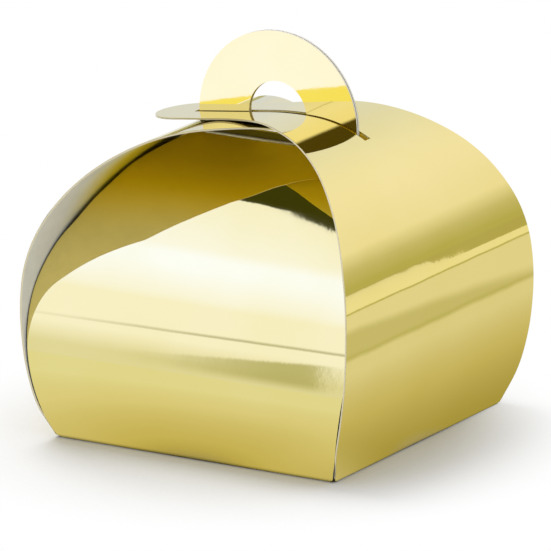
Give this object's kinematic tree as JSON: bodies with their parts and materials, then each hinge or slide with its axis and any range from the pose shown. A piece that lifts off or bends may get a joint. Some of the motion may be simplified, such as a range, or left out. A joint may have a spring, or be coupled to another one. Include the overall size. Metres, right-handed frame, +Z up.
{
  "type": "favor box",
  "caption": "Small folded card gift box with a gold mirror finish; two curved side petals lap over the top and slit over a half round carrying handle with a finger hole.",
  "frame": {"origin": "centre of the square bottom panel, on the floor", "axes": "+X from the left petal to the right petal, which lies on top; +Y from the front flap to the rear flap; +Z up"},
  "size_m": [0.0702, 0.0682, 0.0748],
  "materials": {
    "gold_film": "gold metallised film, mirror-like with a fine orange peel",
    "white_board": "matte white card"
  },
  "bodies": {
    "bottom_and_flaps": {"base_board": "white_board", "base_film": "gold_film", "front_flap_board": "white_board", "front_flap_film": "gold_film", "rear_flap_board": "white_board", "rear_flap_film": "gold_film", "left_wall_board": "white_board", "left_wall_film": "gold_film", "left_shoulder_board": "white_board", "left_shoulder_film": "gold_film", "left_crown_board": "white_board", "left_crown_film": "gold_film"},
    "handles": {"front_handle_board": "white_board", "front_handle_film": "gold_film", "rear_handle_board": "white_board", "rear_handle_film": "gold_film"},
    "right_wall": {"right_wall_board": "white_board", "right_wall_film": "gold_film"},
    "right_haunch": {"right_haunch_board": "white_board", "right_haunch_film": "gold_film"},
    "right_shoulder": {"right_shoulder_board": "white_board", "right_shoulder_film": "gold_film"},
    "right_crown": {"right_crown_board": "white_board", "right_crown_film": "gold_film"}
  },
  "joints": [
    {"name": "right_wall_crease", "type": "hinge", "parent": "bottom_and_flaps", "child": "right_wall", "pos_m": [0.03, 0, 0], "axis": [0, 1, 0], "range_deg": [0, 7.2]},
    {"name": "right_haunch_flex", "type": "hinge", "parent": "right_wall", "child": "right_haunch", "pos_m": [0.03489, 0, 0.0309], "axis": [0, 1, 0], "range_deg": [0, 9]},
    {"name": "right_shoulder_flex", "type": "hinge", "parent": "right_haunch", "child": "right_shoulder", "pos_m": [0.03012, 0, 0.04628], "axis": [0, 1, 0], "range_deg": [0, 27]},
    {"name": "right_crown_flex", "type": "hinge", "parent": "right_shoulder", "child": "right_crown", "pos_m": [0.0215, 0, 0.05535], "axis": [0, 1, 0], "range_deg": [0, 72]},
    {"name": "handle_crease", "type": "hinge", "parent": "bottom_and_flaps", "child": "handles", "pos_m": [0, 0, 0.05422], "axis": [1, 0, 0], "range_deg": [-1.2, 1.2]}
  ],
  "couplings": [
    {"joint": "right_haunch_flex", "follows": "right_wall_crease", "ratio": 1.25},
    {"joint": "right_shoulder_flex", "follows": "right_wall_crease", "ratio": 3.75},
    {"joint": "right_crown_flex", "follows": "right_wall_crease", "ratio": 10}
  ]
}
